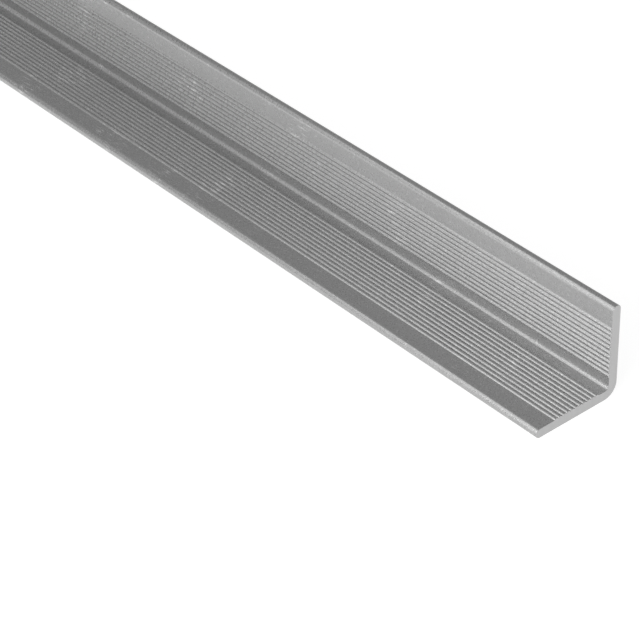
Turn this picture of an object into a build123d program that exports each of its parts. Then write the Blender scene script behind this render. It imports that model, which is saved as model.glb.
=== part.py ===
from build123d import *
import math
import os

# A wall trim strip: one extruded metal angle with two equal legs.
# Its bend is round outside and inside, its free edges are half round, and the inner
# face of each leg carries small ribs that run the whole length of the strip.
#
# Frame: X along the strip, one leg flat on Z = 0, the other leg standing up
# at the +Y side. The origin is at the middle of the box's bottom.

# Driving dimensions, in millimetres
LENGTH = 1000.0            # the piece as sold
LEG = 25.0                 # outer width of each leg
WALL = 2.5                 # thickness of a leg between its ribs
BEND_INNER_RADIUS = 1.2    # fillet between the two inner faces
RIB_PITCH = 1.27           # distance from one rib to the next
RIB_HEIGHT = 0.35          # how far a rib stands above the inner face
RIB_ROOT_RADIUS = 0.12     # rounding at the bottom of the valleys between ribs
EDGE_BAND = 5.5            # plain band from a leg's tip to its last rib, at least
BEND_BAND = 2.9            # plain band from the other leg to the first rib, at least

# Sizes that follow from them
BEND_OUTER_RADIUS = BEND_INNER_RADIUS + WALL
EDGE_RADIUS = WALL / 2
RIBBED_START = WALL + BEND_BAND
RIBBED_WIDTH = LEG - EDGE_BAND - RIBBED_START
RIB_COUNT = math.floor(RIBBED_WIDTH / RIB_PITCH)
FIRST_RIB = RIBBED_START + (RIBBED_WIDTH - (RIB_COUNT - 1) * RIB_PITCH) / 2

# A rib is a round bead: a wide crest arc between two tight root arcs, each root arc
# lying flat against the inner face where the next rib begins. The slope at which the
# arcs meet follows from the height and the pitch alone, and so does the sum of radii.
RIB_SLOPE = 2 * math.atan(2 * RIB_HEIGHT / RIB_PITCH)
RIB_RADII = RIB_PITCH / (2 * math.sin(RIB_SLOPE))
ROOT_RADIUS = min(RIB_ROOT_RADIUS, RIB_RADII / 2)
CREST_RADIUS = RIB_RADII - ROOT_RADIUS


def on_floor_leg(out, up):
    """Section point of the lying leg: out from the bend's corner, up from its outer face."""
    return Vector(0, LEG / 2 - out, up)


def on_wall_leg(out, up):
    """The same point of the standing leg, mirrored across the bend."""
    return Vector(0, LEG / 2 - up, out)


def arc(place, centre, radius, start, end):
    """Arc about a centre of the section, from one angle to another, in degrees."""

    def point(angle):
        turn = math.radians(angle)
        return place(centre[0] + radius * math.cos(turn), centre[1] + radius * math.sin(turn))

    return ThreePointArc(point(start), point((start + end) / 2), point(end))


def free_edge(place):
    """The leg's end: half a circle, as wide as the wall is thick."""
    return arc(place, (LEG - EDGE_RADIUS, EDGE_RADIUS), EDGE_RADIUS, -90, 90)


def rib(place, middle):
    """One rib about its middle, from its outer root to its inner root."""
    slope = math.degrees(RIB_SLOPE)
    root = WALL + ROOT_RADIUS
    crest = WALL + RIB_HEIGHT - CREST_RADIUS
    return [
        arc(place, (middle + RIB_PITCH / 2, root), ROOT_RADIUS, -90, -90 - slope),
        arc(place, (middle, crest), CREST_RADIUS, 90 - slope, 90 + slope),
        arc(place, (middle - RIB_PITCH / 2, root), ROOT_RADIUS, -90 + slope, -90),
    ]


def leg(place):
    """One leg's outline, from the bend's outer arc round the free edge to its inner fillet."""
    ribs_end = FIRST_RIB + (RIB_COUNT - 0.5) * RIB_PITCH
    ribs_start = FIRST_RIB - RIB_PITCH / 2
    edges = [Line(place(BEND_OUTER_RADIUS, 0), place(LEG - EDGE_RADIUS, 0))]
    edges.append(free_edge(place))
    edges.append(Line(place(LEG - EDGE_RADIUS, WALL), place(ribs_end, WALL)))
    for number in reversed(range(RIB_COUNT)):
        edges += rib(place, FIRST_RIB + number * RIB_PITCH)
    edges.append(Line(place(ribs_start, WALL), place(WALL + BEND_INNER_RADIUS, WALL)))
    return edges


def bend(place):
    """The round outside and the fillet inside, about one centre."""
    centre = (BEND_OUTER_RADIUS, BEND_OUTER_RADIUS)
    return [
        arc(place, centre, BEND_OUTER_RADIUS, 180, 270),
        arc(place, centre, BEND_INNER_RADIUS, 180, 270),
    ]


def trim_strip():
    """The whole strip: its section drawn once and extruded both ways from the middle."""
    outline = Wire(leg(on_floor_leg) + leg(on_wall_leg) + bend(on_floor_leg))
    return extrude(Face(outline), LENGTH / 2, dir=(1, 0, 0), both=True)


os.makedirs("parts", exist_ok=True)
strip = trim_strip()
export_step(strip, "parts/trim_strip.step")
print("ribs on each leg", RIB_COUNT, "rib slope in degrees", round(math.degrees(RIB_SLOPE), 1))
print("section area in mm2", round(strip.volume / LENGTH, 2))
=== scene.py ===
# %% [markdown]
# # A wall trim strip in satin aluminium
#
# The real thing is one extruded metal angle, sawn to length. Such a strip covers the outside corner
# of a wall, and the small ribs on the inner faces of its two legs give the adhesive a hold.
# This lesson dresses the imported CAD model: the strip's shape, its satin finish, its sawn ends,
# and a plain studio to see it in. Every size is in metres, in the CAD model's own frame.

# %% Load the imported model
import bmesh
import bpy
import math
from mathutils import Matrix, Vector


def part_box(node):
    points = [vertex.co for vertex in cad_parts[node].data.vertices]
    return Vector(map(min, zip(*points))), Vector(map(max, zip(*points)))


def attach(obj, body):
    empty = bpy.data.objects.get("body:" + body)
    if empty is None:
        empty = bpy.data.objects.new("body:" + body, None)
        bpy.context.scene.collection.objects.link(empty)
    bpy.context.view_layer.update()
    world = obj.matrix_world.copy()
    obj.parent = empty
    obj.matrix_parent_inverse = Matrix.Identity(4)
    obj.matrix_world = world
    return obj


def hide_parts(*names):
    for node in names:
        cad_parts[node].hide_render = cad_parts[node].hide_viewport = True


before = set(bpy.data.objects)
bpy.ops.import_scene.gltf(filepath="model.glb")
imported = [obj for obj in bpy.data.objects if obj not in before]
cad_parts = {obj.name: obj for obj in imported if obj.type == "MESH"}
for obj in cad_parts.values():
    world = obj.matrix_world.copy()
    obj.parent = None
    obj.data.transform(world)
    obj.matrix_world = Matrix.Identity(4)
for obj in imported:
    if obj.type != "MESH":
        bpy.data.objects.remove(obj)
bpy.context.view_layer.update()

# %% [markdown]
# ## The sizes
#
# The frame gives the strip's length and the width of its legs. The finer sizes of the section are
# repeated here by name, as a maker would read them off the extrusion die's drawing.

# %% Sizes of the section
STRIP_NODE = "trim_strip"
low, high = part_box(STRIP_NODE)
LENGTH = high.x - low.x
LEG = high.z - low.z
MM = 0.001
WALL = 2.5 * MM
BEND_INNER_RADIUS = 1.2 * MM
RIB_PITCH = 1.27 * MM
RIB_HEIGHT = 0.35 * MM
RIB_ROOT_RADIUS = 0.12 * MM
RIB_COUNT = 11
FIRST_RIB = 6.1 * MM
print("length", round(LENGTH, 4), "leg", round(LEG, 4), "ribs on a leg", RIB_COUNT)

# %% [markdown]
# ## The strip: a section drawn once and pulled along its length
#
# An extrusion is a rule, not a sculpture: one outline, the same from end to end. That is what
# Geometry Nodes are good at. The tree below draws one rib from three arcs, stands it on a row of
# points, adds the leg's flats and its free edge, mirrors the leg across the bend, and sweeps the
# closed outline along a straight path. A boolean or a bevelled box could give the angle, but not
# eleven ribs that stay tangent to each other when a size changes.
#
# First come three small helpers, so that the tree reads like a drawing list.

# %% Helpers for node trees
def add_node(tree, kind, inputs=(), **settings):
    """Adds a node, applies its settings, and plugs in or types in its inputs, by name or number."""
    made = tree.nodes.new(kind)
    for name, value in settings.items():
        setattr(made, name, value)
    for name, value in dict(inputs).items():
        plug(tree, value, made.inputs[name])
    return made


def plug(tree, value, socket):
    """Links a socket to an input, or sets the input's own value."""
    if isinstance(value, bpy.types.NodeSocket):
        tree.links.new(value, socket)
    else:
        socket.default_value = value


def calc(tree, operation, first, second=0.0):
    """A Math node's result."""
    return add_node(tree, "ShaderNodeMath", {0: first, 1: second}, operation=operation).outputs[0]


# %% [markdown]
# The drawing helpers work in a flat plane: X is the distance out from the bend's corner, and Y is
# the height above the leg's outer face.

# %% Drawing helpers
ARC_STEPS = 9
ROOT_STEPS = 5
QUARTER_TURN = math.pi / 2


def point(tree, out, up):
    """A point of the drawing plane."""
    return add_node(tree, "ShaderNodeCombineXYZ", {"X": out, "Y": up}).outputs[0]


def line(tree, start, end):
    """A straight stroke between two points."""
    return add_node(tree, "GeometryNodeCurvePrimitiveLine", {"Start": start, "End": end}).outputs[0]


def arc(tree, centre, radius, start, sweep, steps=ARC_STEPS):
    """A round stroke about a centre; angles are in radians."""
    sizes = {"Resolution": steps, "Radius": radius, "Start Angle": start, "Sweep Angle": sweep}
    stroke = add_node(tree, "GeometryNodeCurveArc", sizes, mode="RADIUS").outputs["Curve"]
    placed = {"Geometry": stroke, "Translation": centre}
    return add_node(tree, "GeometryNodeTransform", placed).outputs[0]


def join(tree, strokes):
    """Several strokes as one geometry."""
    joined = add_node(tree, "GeometryNodeJoinGeometry")
    for stroke in strokes:
        tree.links.new(stroke, joined.inputs[0])
    return joined.outputs[0]


# %% [markdown]
# A rib is a round bead: a wide crest arc between two tight root arcs. The steepest slope follows
# from the rib's height and pitch alone, and so does the sum of the two radii.

# %% One rib, and the row of them
def rib_stroke(tree, size):
    """One rib about X = 0, from root to root."""
    half_pitch = calc(tree, "MULTIPLY", size["Rib Pitch"], 0.5)
    steepness = calc(tree, "DIVIDE", size["Rib Height"], half_pitch)
    slope = calc(tree, "MULTIPLY", calc(tree, "ARCTANGENT", steepness), 2.0)
    radii = calc(tree, "DIVIDE", half_pitch, calc(tree, "SINE", slope))
    root = size["Rib Root Radius"]
    crest = calc(tree, "SUBTRACT", radii, root)
    top = calc(tree, "ADD", size["Wall"], size["Rib Height"])
    crest_up = calc(tree, "SUBTRACT", top, crest)
    root_up = calc(tree, "ADD", size["Wall"], root)
    crest_start = calc(tree, "SUBTRACT", QUARTER_TURN, slope)
    right_start = calc(tree, "SUBTRACT", -QUARTER_TURN, slope)
    left_out = calc(tree, "MULTIPLY", half_pitch, -1.0)
    double_slope = calc(tree, "MULTIPLY", slope, 2.0)
    return join(tree, [
        arc(tree, point(tree, 0.0, crest_up), crest, crest_start, double_slope, 2 * ARC_STEPS),
        arc(tree, point(tree, half_pitch, root_up), root, right_start, slope, ROOT_STEPS),
        arc(tree, point(tree, left_out, root_up), root, -QUARTER_TURN, slope, ROOT_STEPS),
    ])


def rib_row(tree, size):
    """The ribs of one leg, side by side, as real strokes."""
    row = {
        "Count": size["Rib Count"],
        "Start Location": point(tree, size["First Rib"], 0.0),
        "Offset": point(tree, size["Rib Pitch"], 0.0),
    }
    places = add_node(tree, "GeometryNodeMeshLine", row, mode="OFFSET").outputs[0]
    stood = {"Points": places, "Instance": rib_stroke(tree, size)}
    ribs = add_node(tree, "GeometryNodeInstanceOnPoints", stood).outputs[0]
    return add_node(tree, "GeometryNodeRealizeInstances", {"Geometry": ribs}).outputs[0]


# %% [markdown]
# The rest of a leg is flats and a half-round free edge. The flats beside the ribs end where the
# outermost roots end, so they are worked out from the row of ribs.

# %% One leg and both legs
def leg_strokes(tree, size):
    """One leg's outline, open at the bend."""
    leg, wall = size["Leg"], size["Wall"]
    edge_radius = calc(tree, "MULTIPLY", wall, 0.5)
    half_pitch = calc(tree, "MULTIPLY", size["Rib Pitch"], 0.5)
    row_start = calc(tree, "SUBTRACT", size["First Rib"], half_pitch)
    row_width = calc(tree, "MULTIPLY", size["Rib Count"], size["Rib Pitch"])
    row_end = calc(tree, "ADD", row_start, row_width)
    bend_end = calc(tree, "ADD", wall, size["Bend Radius"])
    inset = calc(tree, "SUBTRACT", leg, edge_radius)
    edge_centre = point(tree, inset, edge_radius)
    return join(tree, [
        line(tree, point(tree, bend_end, 0.0), point(tree, inset, 0.0)),
        arc(tree, edge_centre, edge_radius, -QUARTER_TURN, 2 * QUARTER_TURN, 3 * ARC_STEPS),
        line(tree, point(tree, inset, wall), point(tree, row_end, wall)),
        rib_row(tree, size),
        line(tree, point(tree, row_start, wall), point(tree, bend_end, wall)),
    ])


def mirrored(tree, strokes):
    """The same strokes with out and up exchanged, which is the other leg."""
    position = add_node(tree, "GeometryNodeInputPosition").outputs[0]
    parts = add_node(tree, "ShaderNodeSeparateXYZ", {0: position}).outputs
    moved = {"Geometry": strokes, "Position": point(tree, parts["Y"], parts["X"])}
    return add_node(tree, "GeometryNodeSetPosition", moved).outputs[0]


def bend_strokes(tree, size):
    """The round outside of the bend and the fillet inside it, about one centre."""
    outer = calc(tree, "ADD", size["Wall"], size["Bend Radius"])
    centre = point(tree, outer, outer)
    return join(tree, [
        arc(tree, centre, outer, math.pi, QUARTER_TURN, 3 * ARC_STEPS),
        arc(tree, centre, size["Bend Radius"], math.pi, QUARTER_TURN, 2 * ARC_STEPS),
    ])


# %% [markdown]
# The strokes meet end to end, so as mesh edges they merge into one loop, and the loop becomes one
# closed curve. Curve to Mesh sweeps that curve along the strip's path and closes both ends. The
# last step moves the drawing into the CAD frame: out runs towards -Y, and up is +Z.

# %% Sweeping the outline
MERGE_DISTANCE = 0.001 * MM


def closed_outline(tree, size):
    """Both legs and the bend as one closed curve."""
    leg = leg_strokes(tree, size)
    strokes = join(tree, [leg, mirrored(tree, leg), bend_strokes(tree, size)])
    edges = add_node(tree, "GeometryNodeCurveToMesh", {"Curve": strokes}).outputs[0]
    merge = {"Geometry": edges, "Distance": MERGE_DISTANCE}
    loop = add_node(tree, "GeometryNodeMergeByDistance", merge).outputs[0]
    return add_node(tree, "GeometryNodeMeshToCurve", {"Mesh": loop}).outputs[0]


def swept_strip(tree, size, outline):
    """The outline swept from one sawn end to the other, with both ends closed."""
    far_end = calc(tree, "MULTIPLY", size["Length"], -0.5)
    near_end = calc(tree, "MULTIPLY", size["Length"], 0.5)
    ends = [add_node(tree, "ShaderNodeCombineXYZ", {"Z": end}).outputs[0] for end in (far_end, near_end)]
    stations = {"Curve": line(tree, *ends), "Count": size["Stations"]}
    path = add_node(tree, "GeometryNodeResampleCurve", stations).outputs[0]
    swept = {"Curve": path, "Profile Curve": outline, "Fill Caps": True}
    return add_node(tree, "GeometryNodeCurveToMesh", swept).outputs[0]


def into_frame(tree, size, strip):
    """Moves the drawing's out, up and along to the frame's -Y, +Z and +X."""
    position = add_node(tree, "GeometryNodeInputPosition").outputs[0]
    parts = add_node(tree, "ShaderNodeSeparateXYZ", {0: position}).outputs
    middle = calc(tree, "MULTIPLY", size["Leg"], 0.5)
    across = calc(tree, "SUBTRACT", middle, parts["X"])
    placed = {"X": parts["Z"], "Y": across, "Z": parts["Y"]}
    moved = {"Geometry": strip, "Position": add_node(tree, "ShaderNodeCombineXYZ", placed).outputs[0]}
    return add_node(tree, "GeometryNodeSetPosition", moved).outputs[0]


# %% [markdown]
# The die leaves a satin skin on the long faces, and the saw leaves bare metal on the two ends. The
# tree tells them apart by where a face looks: an end face looks along X.

# %% The whole tree
TREE_SIZES = {
    "Length": LENGTH,
    "Leg": LEG,
    "Wall": WALL,
    "Bend Radius": BEND_INNER_RADIUS,
    "Rib Pitch": RIB_PITCH,
    "Rib Height": RIB_HEIGHT,
    "Rib Root Radius": RIB_ROOT_RADIUS,
    "First Rib": FIRST_RIB,
}
TREE_COUNTS = {"Rib Count": RIB_COUNT, "Stations": 21}
TREE_FINISHES = ("Skin", "Sawn End")
FACES_ALONG = 0.5


def coated(tree, size, strip):
    """The skin on every face, then the sawn finish on the two ends."""
    skin = {"Geometry": strip, "Material": size["Skin"]}
    skinned = add_node(tree, "GeometryNodeSetMaterial", skin).outputs[0]
    normal = add_node(tree, "GeometryNodeInputNormal").outputs[0]
    along = add_node(tree, "ShaderNodeSeparateXYZ", {0: normal}).outputs["X"]
    at_end = calc(tree, "GREATER_THAN", calc(tree, "ABSOLUTE", along), FACES_ALONG)
    sawn = {"Geometry": skinned, "Selection": at_end, "Material": size["Sawn End"]}
    return add_node(tree, "GeometryNodeSetMaterial", sawn).outputs[0]


def extrusion_tree():
    """Geometry Nodes tree of the strip. Its inputs are the section's sizes and the finishes."""
    tree = bpy.data.node_groups.new("extruded_angle", "GeometryNodeTree")
    face = tree.interface
    face.new_socket("Geometry", in_out="OUTPUT", socket_type="NodeSocketGeometry")
    for name in TREE_SIZES:
        face.new_socket(name, in_out="INPUT", socket_type="NodeSocketFloat")
    for name in TREE_COUNTS:
        face.new_socket(name, in_out="INPUT", socket_type="NodeSocketInt")
    for name in TREE_FINISHES:
        face.new_socket(name, in_out="INPUT", socket_type="NodeSocketMaterial")
    size = tree.nodes.new("NodeGroupInput").outputs
    strip = into_frame(tree, size, swept_strip(tree, size, closed_outline(tree, size)))
    real = add_node(tree, "GeometryNodeRealizeInstances", {"Geometry": strip}).outputs[0]
    plug(tree, coated(tree, size, real), tree.nodes.new("NodeGroupOutput").inputs[0])
    return tree


# %% [markdown]
# ## The satin skin
#
# Bare aluminium is all reflection, so its look is decided by roughness and by fine relief, not by
# paint. Its thin dull oxide scatters some of the light as well, which is why the skin is not fully
# metallic: that part keeps the ground between the ribs from turning black. The skin has an even
# grain of fine pits, a few faint lines that the die drew along the strip, and some short light
# scuffs from handling. Rare lighter specks in its colour are painted glints, standing in for the
# sparkle of light on the grain. The grain and the lines are a Bump, far too shallow to be worth a
# vertex. All of it reads the object's own coordinates, so it stays put from every side.
#
# Noise on those coordinates has a lattice of its own, and a flat face can lie just along it, which
# shows as a grid. The patterns of the grain are therefore turned a little.

# %% Material helpers
NOISE_ROUGHNESS = 0.6
NOISE_LOW = 0.25
NOISE_HIGH = 0.75


def new_material(name):
    """An empty node material with its shader and output."""
    material = bpy.data.materials.new(name)
    material.use_nodes = True
    tree = material.node_tree
    tree.nodes.clear()
    shader = add_node(tree, "ShaderNodeBsdfPrincipled")
    output = add_node(tree, "ShaderNodeOutputMaterial")
    tree.links.new(shader.outputs[0], output.inputs["Surface"])
    return material, tree, shader


def noise(tree, scale, stretch=(1.0, 1.0, 1.0), detail=2.0, turn=0.0):
    """Noise on object coordinates. scale is in patches a metre, stretch squeezes it along an axis,
    and a turn keeps the pattern's own grid off the flat faces."""
    coords = add_node(tree, "ShaderNodeTexCoord").outputs["Object"]
    placed = {"Vector": coords, "Scale": stretch, "Rotation": (turn, turn, turn)}
    mapped = add_node(tree, "ShaderNodeMapping", placed).outputs[0]
    settings = {"Vector": mapped, "Scale": scale, "Detail": detail, "Roughness": NOISE_ROUGHNESS}
    return add_node(tree, "ShaderNodeTexNoise", settings).outputs[0]


def spread(tree, value, low, high):
    """Maps a value between the usual low and high of noise onto a range."""
    limits = {"Value": value, 1: NOISE_LOW, 2: NOISE_HIGH, 3: low, 4: high}
    return add_node(tree, "ShaderNodeMapRange", limits).outputs[0]


def bump(tree, height, depth, strength, under=None):
    """Relief of a given depth in metres, on top of another bump."""
    inputs = {"Height": height, "Distance": depth, "Strength": strength}
    if under is not None:
        inputs["Normal"] = under
    return add_node(tree, "ShaderNodeBump", inputs).outputs[0]


def tone(tree, value):
    """A grey from a single value."""
    return add_node(tree, "ShaderNodeCombineColor", {0: value, 1: value, 2: value}).outputs[0]


def above(tree, value, start, full):
    """Zero up to start, one from full on, and a ramp between them."""
    limits = {"Value": value, 1: start, 2: full, 3: 0.0, 4: 1.0}
    return add_node(tree, "ShaderNodeMapRange", limits).outputs[0]


# %% The skin's numbers
SKIN_TONE = 0.43
SKIN_METAL = 0.72
SKIN_ROUGHNESS = 0.29
ROUGHNESS_SPREAD = 0.04
GRAIN_SCALE, GRAIN_TURN = 1500.0, 0.6
GRAIN_DEPTH, GRAIN_STRENGTH = 0.02 * MM, 0.6
DIE_LINE_SCALE, DIE_LINE_STRETCH = 900.0, (0.01, 1.0, 1.0)
DIE_LINE_DEPTH, DIE_LINE_STRENGTH = 0.004 * MM, 0.5
MOTTLE_SCALE, MOTTLE_TURN, MOTTLE_RANGE = 1400.0, 1.1, (0.96, 1.04)
# Painted glints: rare lighter specks in the skin's colour, standing in for sparkle.
PAINTED_GLINT_LIMITS, PAINTED_GLINT_LIFT = (0.66, 0.76), 0.25
CLOUD_SCALE, CLOUD_RANGE = 160.0, (0.98, 1.02)
SCUFF_SCALE, SCUFF_STRETCH, SCUFF_LIMITS = 2400.0, (0.12, 1.0, 1.0), (0.58, 0.68)
SCUFF_PATCH_SCALE, SCUFF_PATCH_LIMITS, SCUFF_LIFT = 60.0, (0.61, 0.67), 0.55


# %% The skin
def scuffs(tree):
    """A few short light scratches that run along the strip, in patches."""
    streaks = above(tree, noise(tree, SCUFF_SCALE, SCUFF_STRETCH, detail=1.0), *SCUFF_LIMITS)
    places = above(tree, noise(tree, SCUFF_PATCH_SCALE, detail=1.0), *SCUFF_PATCH_LIMITS)
    return calc(tree, "MULTIPLY", streaks, places)


def satin_skin():
    """Satin aluminium for the extruded faces."""
    material, tree, shader = new_material("satin_skin")
    shader.inputs["Metallic"].default_value = SKIN_METAL
    grain = noise(tree, GRAIN_SCALE, detail=1.0, turn=GRAIN_TURN)
    mottle = noise(tree, MOTTLE_SCALE, detail=1.0, turn=MOTTLE_TURN)
    die_lines = noise(tree, DIE_LINE_SCALE, DIE_LINE_STRETCH)
    clouding = noise(tree, CLOUD_SCALE, detail=3.0, turn=GRAIN_TURN)
    # Painted glints: rare lighter specks added to the base colour.
    painted_glints = calc(tree, "MULTIPLY", above(tree, mottle, *PAINTED_GLINT_LIMITS), PAINTED_GLINT_LIFT)
    scratch = calc(tree, "MULTIPLY", scuffs(tree), SCUFF_LIFT)
    shade = calc(tree, "MULTIPLY", spread(tree, clouding, *CLOUD_RANGE), spread(tree, mottle, *MOTTLE_RANGE))
    lift = calc(tree, "ADD", shade, calc(tree, "ADD", painted_glints, scratch))
    plug(tree, tone(tree, calc(tree, "MULTIPLY", lift, SKIN_TONE)), shader.inputs["Base Color"])
    rough = spread(tree, grain, SKIN_ROUGHNESS - ROUGHNESS_SPREAD, SKIN_ROUGHNESS + ROUGHNESS_SPREAD)
    plug(tree, rough, shader.inputs["Roughness"])
    lines = bump(tree, die_lines, DIE_LINE_DEPTH, DIE_LINE_STRENGTH)
    plug(tree, bump(tree, grain, GRAIN_DEPTH, GRAIN_STRENGTH, lines), shader.inputs["Normal"])
    return material


skin = satin_skin()
print("skin tone", SKIN_TONE, "metal", SKIN_METAL, "roughness", SKIN_ROUGHNESS)

# %% [markdown]
# The saw cuts through the skin, so the two ends are bare metal: fully metallic, rougher, and with
# fine marks where the blade's teeth went by. The marks are the same noise, drawn out along the
# cut, which is cheaper than a second pattern and just as uneven as a hand-fed saw leaves it.

# %% The sawn ends
SAWN_TONE = 0.50
SAWN_ROUGHNESS = 0.45
SAW_MARK_SCALE, SAW_MARK_STRETCH = 700.0, (1.0, 1.0, 0.08)
SAW_MARK_DEPTH, SAW_MARK_STRENGTH = 0.01 * MM, 0.4
SAW_MARK_RANGE = (0.97, 1.03)


def sawn_metal():
    """Bare sawn metal for the two ends."""
    material, tree, shader = new_material("sawn_end")
    shader.inputs["Metallic"].default_value = 1.0
    marks = noise(tree, SAW_MARK_SCALE, SAW_MARK_STRETCH, detail=3.0)
    shade = calc(tree, "MULTIPLY", spread(tree, marks, *SAW_MARK_RANGE), SAWN_TONE)
    plug(tree, tone(tree, shade), shader.inputs["Base Color"])
    shader.inputs["Roughness"].default_value = SAWN_ROUGHNESS
    plug(tree, bump(tree, marks, SAW_MARK_DEPTH, SAW_MARK_STRENGTH), shader.inputs["Normal"])
    return material


sawn = sawn_metal()
print("finishes", skin.name, sawn.name)

# %% [markdown]
# ## Making the piece
#
# The tree runs once as a modifier, a small bevel takes the saw's sharpness off the ends, and the
# evaluated result becomes a plain mesh. Long faces are shaded smooth and the ends stay flat.

# %% The strip
END_EASE = 0.08 * MM
EASED_ANGLE = math.radians(60)
END_FACE = 0.99


def tree_inputs(tree, modifier, values):
    """Sets a Geometry Nodes modifier's inputs by socket name, through their identifiers."""
    for item in tree.interface.items_tree:
        if item.in_out == "INPUT" and item.name in values:
            modifier[item.identifier] = values[item.name]


def make_strip():
    """The strip as a plain mesh object."""
    maker = bpy.data.objects.new("strip_maker", bpy.data.meshes.new("strip_maker"))
    bpy.context.scene.collection.objects.link(maker)
    grow = maker.modifiers.new("extrusion", "NODES")
    grow.node_group = extrusion_tree()
    finishes = dict(zip(TREE_FINISHES, (skin, sawn)))
    tree_inputs(grow.node_group, grow, {**TREE_SIZES, **TREE_COUNTS, **finishes})
    ease = maker.modifiers.new("eased_ends", "BEVEL")
    ease.width = END_EASE
    ease.segments = 2
    ease.limit_method = "ANGLE"
    ease.angle_limit = EASED_ANGLE
    ease.use_clamp_overlap = False
    graph = bpy.context.evaluated_depsgraph_get()
    mesh = bpy.data.meshes.new_from_object(maker.evaluated_get(graph))
    bpy.data.objects.remove(maker)
    mesh.name = "strip"
    strip = bpy.data.objects.new("strip", mesh)
    bpy.context.scene.collection.objects.link(strip)
    return strip


def outward_and_smooth(piece):
    """Faces outwards, long faces smooth, end faces flat."""
    shape = bmesh.new()
    shape.from_mesh(piece.data)
    bmesh.ops.recalc_face_normals(shape, faces=shape.faces)
    for side in shape.faces:
        side.smooth = abs(side.normal.x) < END_FACE
    print("volume in cm3", round(shape.calc_volume() / (10 * MM) ** 3, 2), "faces", len(shape.faces))
    shape.to_mesh(piece.data)
    shape.free()


strip = make_strip()
outward_and_smooth(strip)
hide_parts(STRIP_NODE)
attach(strip, "root")

# %% [markdown]
# ## The studio
#
# The photograph shows the strip on pure white, as catalogues do. More light would get there, but
# it would burn out the metal first. So the floor is a dull light grey that glows where the camera
# or a reflection looks at it: glow and light together just reach white, and only where the strip
# keeps the light off does the floor stay under it, which is the shadow.

# %% Floor
FLOOR_SIZE = 40.0
FLOOR_TONE = 0.3
FLOOR_GLOW = 0.88


def seen_directly(tree):
    """One for rays that come from the camera, a reflection or glass, and zero for the rest."""
    path = add_node(tree, "ShaderNodeLightPath").outputs
    seen = calc(tree, "MAXIMUM", path["Is Camera Ray"], path["Is Glossy Ray"])
    return calc(tree, "MAXIMUM", seen, path["Is Transmission Ray"])


def floor_finish():
    """Dull light grey that glows white where it is looked at."""
    material, tree, shader = new_material("white_floor")
    plug(tree, (FLOOR_TONE, FLOOR_TONE, FLOOR_TONE, 1.0), shader.inputs["Base Color"])
    plug(tree, 1.0, shader.inputs["Roughness"])
    plug(tree, 0.0, shader.inputs["Specular IOR Level"])
    plug(tree, (1.0, 1.0, 1.0, 1.0), shader.inputs["Emission Color"])
    plug(tree, calc(tree, "MULTIPLY", seen_directly(tree), FLOOR_GLOW), shader.inputs["Emission Strength"])
    return material


def make_floor():
    """A large floor that the strip lies on."""
    mesh = bpy.data.meshes.new("floor")
    half = FLOOR_SIZE / 2
    corners = [(-half, -half, 0.0), (half, -half, 0.0), (half, half, 0.0), (-half, half, 0.0)]
    mesh.from_pydata(corners, [], [(0, 1, 2, 3)])
    floor = bpy.data.objects.new("floor", mesh)
    bpy.context.scene.collection.objects.link(floor)
    mesh.materials.append(floor_finish())


make_floor()
print("floor across in metres", FLOOR_SIZE, "glow", FLOOR_GLOW)

# %% [markdown]
# The lamps are round soft boxes. Four stand in front of the near end, and a fifth further along, so
# the free edges, the bend and the ribs carry highlights that fade along the strip. Two hang low
# over the far half: they light it, but are too far round to show in the near half's ribs. Each is
# placed about a spot on the strip, by its bearing and its height above the floor in degrees. A
# bearing is counted from the front, -Y, over the near end, +X.

# %% Lamps
FAR_STAND = {"away": 0.60, "size": 0.26}
NEAR_STAND = {"away": 0.32, "size": 0.17}
HANGING = {"bearing": 340, "height": 70, "radiance": 1.5}
SOFTBOXES = {
    "key": {"spot": 0.50, "bearing": 20, "height": 30, "radiance": 5.6, **NEAR_STAND},
    "front_low": {"spot": 0.30, "bearing": 0, "height": 12, "radiance": 4.5, **FAR_STAND},
    "front_middle": {"spot": 0.40, "bearing": 340, "height": 30, "radiance": 1.9, **FAR_STAND},
    "front_high": {"spot": 0.40, "bearing": 315, "height": 50, "radiance": 1.5, **FAR_STAND},
    "along": {"spot": 0.20, "bearing": 340, "height": 30, "radiance": 0.6, **FAR_STAND},
    "middle_fill": {"spot": -0.15, "away": 0.22, "size": 0.22, **HANGING},
    "far_fill": {"spot": -0.40, "away": 0.26, "size": 0.26, **HANGING},
}
AIM_HEIGHT = 10 * MM


def softbox(name, spot, bearing, height, away, size, radiance):
    """A round soft light of a given radiance, aimed at a spot on the strip."""
    turn, rise = math.radians(bearing), math.radians(height)
    level = math.cos(rise)
    outward = Vector((math.sin(turn) * level, -math.cos(turn) * level, math.sin(rise)))
    light = bpy.data.lights.new(name, "AREA")
    light.shape = "DISK"
    light.size = size
    light.energy = radiance * math.pi * math.pi * (size / 2) ** 2  # a disk sends out pi x area x radiance
    lamp = bpy.data.objects.new(name, light)
    lamp.location = Vector((spot, 0.0, AIM_HEIGHT)) + outward * away
    lamp.rotation_euler = (-outward).to_track_quat("-Z", "Y").to_euler()
    lamp.visible_camera = False
    bpy.context.scene.collection.objects.link(lamp)


for name, box in SOFTBOXES.items():
    softbox(name, **box)
print("softboxes", len(SOFTBOXES))

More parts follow.
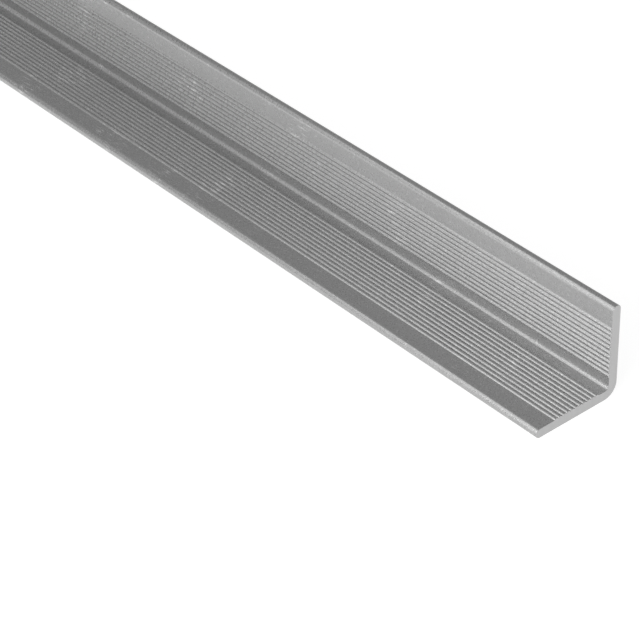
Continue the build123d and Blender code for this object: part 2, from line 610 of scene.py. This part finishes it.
# %% [markdown]
# The world is white at the horizon, so that the floor has no visible end. From there it darkens
# quickly towards the zenith: metal needs something dark to mirror, or it loses its shape.

# %% World
HORIZON_LEVEL = 1.0
ZENITH_LEVEL = 0.35
HAZE_TOP = 0.15


def make_world():
    """White up to a little above the horizon, then a dim grey."""
    world = bpy.data.worlds.new("studio")
    world.use_nodes = True
    tree = world.node_tree
    direction = add_node(tree, "ShaderNodeTexCoord").outputs["Generated"]
    upward = add_node(tree, "ShaderNodeSeparateXYZ", {0: direction}).outputs["Z"]
    limits = {"Value": upward, 1: 0.0, 2: HAZE_TOP, 3: HORIZON_LEVEL, 4: ZENITH_LEVEL}
    level = add_node(tree, "ShaderNodeMapRange", limits, interpolation_type="SMOOTHSTEP").outputs[0]
    plug(tree, level, tree.nodes["Background"].inputs["Strength"])
    plug(tree, (1.0, 1.0, 1.0, 1.0), tree.nodes["Background"].inputs["Color"])
    bpy.context.scene.world = world


make_world()
print("world level at the horizon", HORIZON_LEVEL, "and the zenith", ZENITH_LEVEL)

# %% [markdown]
# ## The camera
#
# A long lens from above the near end, found by fitting the strip's straight lines and corners.

# %% Camera
LENS = 148.40
SENSOR = 36.0
CAMERA_AT = Vector((0.81900, -0.33733, 0.36313))
CAMERA_LOOKS_AT = Vector((0.43415, -0.01877, 0.0))
CAMERA_ROLL = math.radians(-1.334)


def make_camera():
    """The picture's camera."""
    data = bpy.data.cameras.new("camera")
    data.lens = LENS
    data.sensor_width = SENSOR
    data.clip_start = 0.01
    camera = bpy.data.objects.new("camera", data)
    bpy.context.scene.collection.objects.link(camera)
    aim = (CAMERA_LOOKS_AT - CAMERA_AT).to_track_quat("-Z", "Y").to_matrix().to_4x4()
    camera.matrix_world = Matrix.Translation(CAMERA_AT) @ aim @ Matrix.Rotation(CAMERA_ROLL, 4, "Z")
    bpy.context.scene.camera = camera
    print("lens in mm", LENS, "distance in metres", round((CAMERA_LOOKS_AT - CAMERA_AT).length, 3))


make_camera()
bpy.context.scene.view_settings.view_transform = "Standard"
